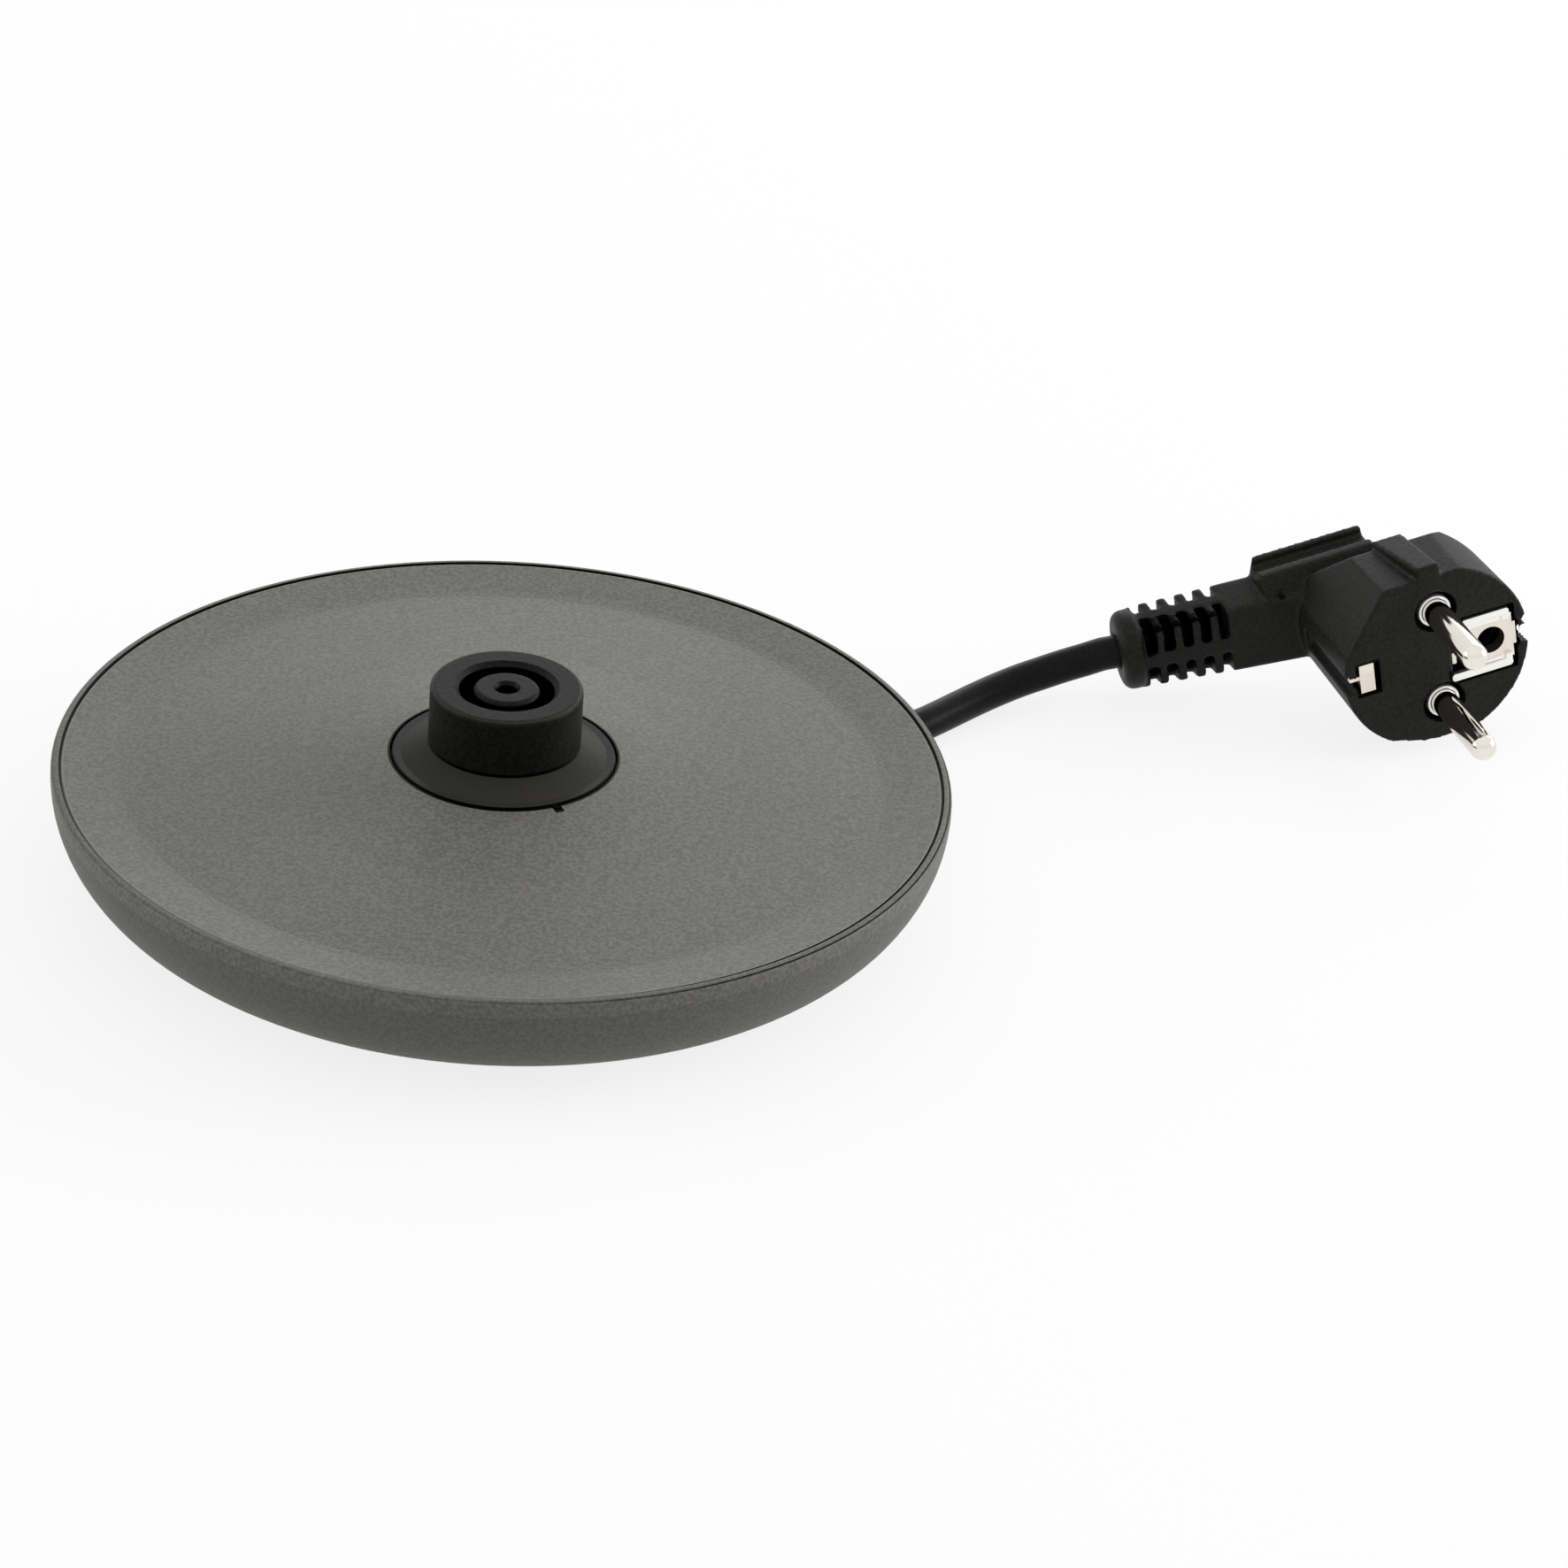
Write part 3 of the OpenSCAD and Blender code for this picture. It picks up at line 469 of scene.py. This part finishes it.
class Finish(Look):
    """A material with one Principled shader."""

    def __init__(self, name, **sockets):
        self.material = bpy.data.materials.new(name)
        super().__init__(self.material)
        surface = self.node("ShaderNodeBsdfPrincipled")
        self.shader = surface.socket.node
        self.node("ShaderNodeOutputMaterial", [surface])
        self.place = self.node("ShaderNodeTexCoord", out="Object")
        self.set(**sockets)

    def set(self, **sockets):
        for key, value in sockets.items():
            self.feed(self.shader.inputs[key.replace("_", " ").title().replace("Ior", "IOR")], value)

    def noise(self, scale, detail=2.0, roughness=0.5):
        return self.node("ShaderNodeTexNoise", {"Vector": self.place, "Scale": scale,
                                                "Detail": detail, "Roughness": roughness})

    def blend(self, amount, a, b):
        return self.node("ShaderNodeMix", {0: amount, 6: a, 7: b}, out=2, data_type="RGBA")

    def mottled(self, cloud, colour, share):
        """The colour with clouds of a darker share of it."""
        return self.blend(cloud, tuple(share * c for c in colour), colour)

    def shaded(self, colour, mask):
        """Painted shade: black without gloss where the mask is 1, standing in for the shade in a deep joint
        or recess.
        """
        mask = mask.maths("MINIMUM", 1)
        self.set(metallic=mask)
        return self.blend(mask, colour, (0.0015, 0.0015, 0.0013))

    def bump(self, height, depth):
        return self.node("ShaderNodeBump", {"Distance": depth, "Height": height})

    def axis(self, k):
        return self.node("ShaderNodeSeparateXYZ", [self.place], out=k)

    def radius(self):
        """Distance from the upright axis of the base."""
        x, y = self.axis(0), self.axis(1)
        return (x * x + y * y).maths("POWER", 0.5)

    def height(self):
        return self.axis(2)

    def front(self, low, high):
        """0 to 1 towards the front of the base, between two distances from its middle."""
        return (-1 * self.axis(1)).between(low, high)

    def along(self, way, start):
        """Distance from a point in the given direction."""
        x, y, z = (self.axis(k) for k in range(3))
        return way[0] * x + way[1] * y + way[2] * z - way.dot(start)

    def plug_space(self):
        """Plug coordinates in metres."""
        return [self.along(way, plug_place.translation) for way in (plug_x, plug_y, plug_z)]


def dress(node, finish):
    """Give a CAD node's slots the finish."""
    materials = nodes[node].data.materials
    if not materials:
        materials.append(finish.material)
    for k in range(len(materials)):
        materials[k] = finish.material


def spark_grained(f, colour, deep, roughness):
    """Moulded plastic from a spark-eroded tool: fine even pits with a speckle of tone."""
    pits = f.noise(FINE_PITS, 2, 0.55)
    speckle = f.noise(SPARK_GRAIN).between(0.34, 0.66)
    cloud = f.noise(18, 3).between(*CLOUD)
    f.set(normal=f.bump(pits, 0.00007), roughness=roughness + 0.12 * (pits - 0.5))
    return f.blend(0.88 * speckle + 0.12 * cloud, deep, colour)


def shell_finish():
    """Dish: painted shade darkens the wall, more towards the left, and painted shade makes dark lines in the
    joint beside the cover and along the lip, stronger towards the right.
    """
    f = Finish("shell_grey", specular_ior_level=0.35)
    grey = spark_grained(f, (0.222, 0.218, 0.196), (0.136, 0.134, 0.12), 0.55)
    out = f.radius()
    left = (-1 * f.axis(0)).between(0.02, 0.072)
    right = f.axis(0).between(-0.02, 0.05)
    wall_shade = f.height() < 0.0185
    # Painted shade: the wall below the lip is darkened, more towards the left.
    grey = f.blend(wall_shade * (0.36 + 0.16 * left), grey, (0.1, 0.098, 0.088))
    # Painted shade: black on the lip's inner wall, in the joint beside the cover.
    joint = out.under(0.07462, 0.07474) * (f.height() > 0.0155)
    # Painted shade: a dark line along the lip, stronger towards the right.
    lip_shade_line = out.band(0.07545, 0.07555, 0.0757, 0.0758) * (f.height() > 0.0205)
    f.set(base_color=f.shaded(grey, joint + (0.3 + 0.65 * right) * lip_shade_line))
    return f


KEY_ANGLE = -62


def cover_finish():
    """Cover plate: a painted highlight along its outer edge, painted shade in the joints at its rim and hub,
    and a black strip at the key notch, painted shade that stands in for the notch's depth.
    """
    f = Finish("cover_grey", specular_ior_level=0.35)
    grey = spark_grained(f, (0.236, 0.232, 0.209), (0.145, 0.143, 0.129), 0.52)
    out = f.radius()
    # Painted highlight: a light line along the cover's outer edge.
    edge_highlight = out.band(0.0738, 0.0741, 0.0743, 0.07436)
    grey = f.blend(0.7 * edge_highlight, grey, (0.4, 0.395, 0.37))
    near = f.front(-0.02, 0.05)
    right = f.axis(0).between(-0.03, 0.05)
    # Painted shade in the joint at the rim, stronger to the right and wider at the near right, and in the
    # joint at the hub, wider at the near side.
    rim_joint_shade = (0.65 + 0.35 * right) * (out + 0.0003 * right * near).between(0.07434, 0.07439)
    hub_joint_shade = (out - 0.0002 * near).under(0.0195, 0.01964)
    # Painted shade: a black strip at the key notch beside the hub, standing in for the shade down in the
    # notch.
    a = math.radians(KEY_ANGLE)
    key_out = f.along(Vector((math.cos(a), math.sin(a), 0)), Vector())
    key_side = f.along(Vector((-math.sin(a), math.cos(a), 0)), Vector())
    painted_key_notch = key_out.inside(0, 0.0211) * (abs(key_side) < 0.0008)
    f.set(base_color=f.shaded(grey, rim_joint_shade + hub_joint_shade + painted_key_notch))
    return f


def black_moulding(name, tone, roughness, scale, depth, level=0.2, dark=None, light=None):
    """Black plastic or rubber with a fine grain. dark gives the mask of its painted shade, and light the mask
    where it is painted lighter, partly as painted light.
    """
    f = Finish(name, specular_ior_level=level)
    speck = f.noise(scale)
    cloud = f.noise(60, 3)
    grain = f.noise(SPARK_GRAIN).between(0.36, 0.64)
    black = f.blend(0.75 * grain + 0.25 * cloud.between(*CLOUD), (tone * 0.5, tone * 0.49, tone * 0.43),
                    (tone * 1.5, tone * 1.47, tone * 1.3))
    if light:
        black = f.blend(light(f), black, (0.052, 0.05, 0.044))
    if dark:
        black = f.shaded(black, dark(f))
    f.set(base_color=black, roughness=roughness + 0.1 * (speck - 0.5) + 0.08 * (cloud - 0.5),
          normal=f.bump(speck, depth))
    return f


def hub_shade(f):
    """Painted shade at the outer edge of the flange, at the foot of the post and down in the ring slot."""
    out, z = f.radius(), f.height()
    foot = out.under(0.0131, 0.0133) * z.under(0.0273, 0.0276) * (z > 0.027)
    slot = out.under(0.0083, 0.0085) * z.under(0.0363, 0.0367)
    return out.between(0.01855, 0.01863) + foot + slot


def hub_painted_light(f):
    """Flange painted lighter, partly for its matt tone and partly as painted light that grows towards the
    front, and a painted highlight on the edge round the top of the post.
    """
    out = f.radius()
    edge_highlight = out.band(0.0122, 0.01235, 0.01262, 0.01277) * (f.height() > 0.0365)
    flange = (0.25 + 0.6 * f.front(0, 0.016)) * out.between(0.013, 0.0132)
    return 0.72 * edge_highlight + flange


def plug_shade(f):
    """Painted shade: black in the pits of the plug's face, on a band round the mouth of each pit, and in the
    deep openings of the strain relief.
    """
    x, y, z = f.plug_space()
    face_radius, pit_radius = 0.016, 0.0041
    pit_floor_shade = y.inside(0.0004, 0.004) * ((x * x + z * z) < face_radius ** 2)
    up_pin, low_pin = z - PIN_Z * MM, z + PIN_Z * MM
    collar_pits = (((x * x + up_pin * up_pin) < pit_radius ** 2)
                   + ((x * x + low_pin * low_pin) < pit_radius ** 2))
    plate_pocket = x.inside(0.0034, 0.0147) * (abs(z) < 0.0067)
    lower_rail_pocket = x.inside(0.0014, 0.0147) * z.inside(-0.0067, -0.0035)
    clip_pocket = x.inside(-0.0161, -0.0114) * (abs(z) < 0.0035)
    pit_rim_shade = (collar_pits + plate_pocket + lower_rail_pocket + clip_pocket) * y.inside(-0.001, 0.002)
    neck = math.radians(NECK_ANGLE)
    root = in_plug @ NECK_END
    length = f.along(plug_x * math.cos(neck) + plug_y * math.sin(neck), root)
    across = f.along(plug_y * math.cos(neck) - plug_x * math.sin(neck), root)
    window_shade = (abs(across) < 0.0042) * (abs(z) < 0.0061) * length.inside(0.0004, 0.0156)
    return pit_floor_shade + pit_rim_shade + window_shade


def plated(name, colour, roughness):
    """Brass or zinc with fine scratches."""
    f = Finish(name, metallic=1.0)
    wear = f.noise(420, 3, 0.6)
    cloud = f.noise(90).between(0.35, 0.65)
    f.set(base_color=f.mottled(cloud, colour, 0.9), roughness=roughness + 0.08 * (wear - 0.5),
          normal=f.bump(wear, 0.00001))
    return f


def pin_finish():
    """Pins: bright nickel that mirrors the black face."""
    f = Finish("pin_nickel", metallic=1.0)
    cloud = f.noise(120)
    f.set(base_color=f.blend(cloud.between(*CLOUD), (0.89, 0.83, 0.77), (0.93, 0.88, 0.82)),
          roughness=0.1 + 0.03 * (cloud - 0.5))
    return f


def earth_finish():
    """Creamy plate with rails painted brighter, a painted highlight on their rounded bends."""
    f = Finish("earth_nickel", metallic=1.0)
    x, y, z = f.plug_space()
    rails = (abs(z) > 0.0037) * (x > 0) * (y < 0.0009)
    cloud = f.noise(300, 3)
    cream = f.blend(cloud.between(*CLOUD), (0.86, 0.78, 0.69), (0.92, 0.84, 0.76))
    f.set(base_color=f.blend(rails, cream, (0.99, 0.98, 0.96)), roughness=0.32 + 0.08 * (cloud - 0.5))
    return f


def plain_moulding(name, colour, roughness=0.5, **sockets):
    """Smooth moulded plastic in a light or bright colour."""
    f = Finish(name, **sockets)
    cloud = f.noise(150, 3)
    f.set(base_color=f.mottled(cloud.between(*CLOUD), colour, 0.93),
          roughness=roughness + 0.1 * (cloud - 0.5), normal=f.bump(f.noise(1400), 0.00001))
    return f


shell_grey = shell_finish()
cover_grey = cover_finish()
post_black = black_moulding("post_black", 0.0105, 0.42, 1300, 0.00004, 0.095, hub_shade, hub_painted_light)
plug_black = black_moulding("plug_black", 0.0125, 0.5, 1200, 0.00005, 0.17, plug_shade)
cord_black = black_moulding("cord_black", 0.006, 0.33, 500, 0.00002, 0.12)
foot_rubber = black_moulding("foot_rubber", 0.02, 0.8, 900, 0.00005)
pin_nickel = pin_finish()
earth_nickel = earth_finish()
contact_brass = plated("contact_brass", (0.8, 0.64, 0.36), 0.3)
screw_zinc = plated("screw_zinc", (0.6, 0.6, 0.61), 0.35)
collar_white = plain_moulding("collar_white", (0.97, 0.97, 0.96), 0.35, metallic=0.85)
carrier_white = plain_moulding("carrier_white", (0.6, 0.58, 0.53))
wire_brown = plain_moulding("wire_brown", (0.2, 0.08, 0.03), 0.4)
wire_blue = plain_moulding("wire_blue", (0.03, 0.12, 0.4), 0.4)
wire_green = plain_moulding("wire_green_yellow", (0.3, 0.42, 0.04), 0.4)

for node, finish in {
    "lower_shell": shell_grey, "connector_body": post_black,
    "contact_carrier": carrier_white, "line_contact": contact_brass, "neutral_contact": contact_brass,
    "earth_contact": contact_brass, "lead_terminals": contact_brass, "line_wire": wire_brown,
    "neutral_wire": wire_blue, "earth_wire": wire_green, "cord_clamp": post_black,
    "clamp_screws": screw_zinc, "connector_screws": screw_zinc, "cover_screws": screw_zinc,
    "rubber_feet": foot_rubber,
}.items():
    dress(node, finish)
for piece, finish in ((lead, cord_black), (plug, plug_black), (collars, collar_white), (strap, earth_nickel),
                      (cover, cover_grey), *((pin, pin_nickel) for pin in pins)):
    piece.data.materials.clear()
    piece.data.materials.append(finish.material)


# ---------------------------------------------------------------- floor, backdrop and light
WHITE = (1, 1, 1)
GLOSSY_SHARE = 0.8


def seen_white(look, plain, white):
    """The camera and most mirror-like rays see the white paper, and soft light sees the plain one."""
    to_camera, through, glossy = (look.node("ShaderNodeLightPath", out=ray) for ray in (
        "Is Camera Ray", "Is Transmission Ray", "Is Glossy Ray"))
    seen = glossy.maths("MULTIPLY_ADD", GLOSSY_SHARE, to_camera + through, clamp=True)
    return look.node("ShaderNodeMixShader", [seen, plain, white])


def paper_floor(size, height):
    """White paper under the part, which keeps its shadow."""
    mesh = bpy.data.meshes.new("floor")
    h = size / 2
    mesh.from_pydata([(-h, -h, height), (h, -h, height), (h, h, height), (-h, h, height)], [],
                     [(0, 1, 2, 3)])
    piece = bpy.data.objects.new("floor", mesh)
    scene.collection.objects.link(piece)
    paper = bpy.data.materials.new("paper")
    look = Look(paper)
    plain = look.node("ShaderNodeBsdfDiffuse", {"Color": (0.8, 0.8, 0.8)})
    faint = look.node("ShaderNodeBsdfDiffuse", {"Color": (0.25, 0.25, 0.25)})
    glow = look.node("ShaderNodeEmission", {"Strength": 0.82})
    white = look.node("ShaderNodeAddShader", [faint, glow])
    look.node("ShaderNodeOutputMaterial", [seen_white(look, plain, white)])
    mesh.materials.append(paper)


def studio_world():
    """White backdrop, and a soft sky that is brighter towards the top."""
    scene.world = bpy.data.worlds.new("studio")
    look = Look(scene.world)
    rise = look.node("ShaderNodeSeparateXYZ", [look.node("ShaderNodeTexCoord", out="Generated")], out=2)
    sky = look.node("ShaderNodeBackground", {"Color": WHITE, "Strength": rise.between(0.35, 0.8, 0.22, 0.58)})
    white = look.node("ShaderNodeBackground", {"Color": WHITE, "Strength": 1.0})
    look.node("ShaderNodeOutputWorld", [seen_white(look, sky, white)])


def soft_lamp(name, place, size, watts):
    """Rectangular lamp that faces the middle of the base."""
    data = bpy.data.lights.new(name, "AREA")
    data.shape = "RECTANGLE"
    data.size, data.size_y = size
    data.energy = watts
    lamp = bpy.data.objects.new(name, data)
    lamp.location = place
    lamp.rotation_euler = (-Vector(place)).to_track_quat("-Z", "Y").to_euler()
    scene.collection.objects.link(lamp)


paper_floor(8, -0.0001)
studio_world()
soft_lamp("back_softbox", (0.35, 1.25, 0.5), (1.5, 0.7), 3.3)
soft_lamp("right_softbox", (1.5, 0.3, 0.45), (1.0, 0.6), 11.5)
soft_lamp("left_fill", (-1.5, 0.1, 0.4), (1.0, 0.6), 4.2)

scene.view_settings.view_transform = "Standard"
bpy.context.view_layer.update()
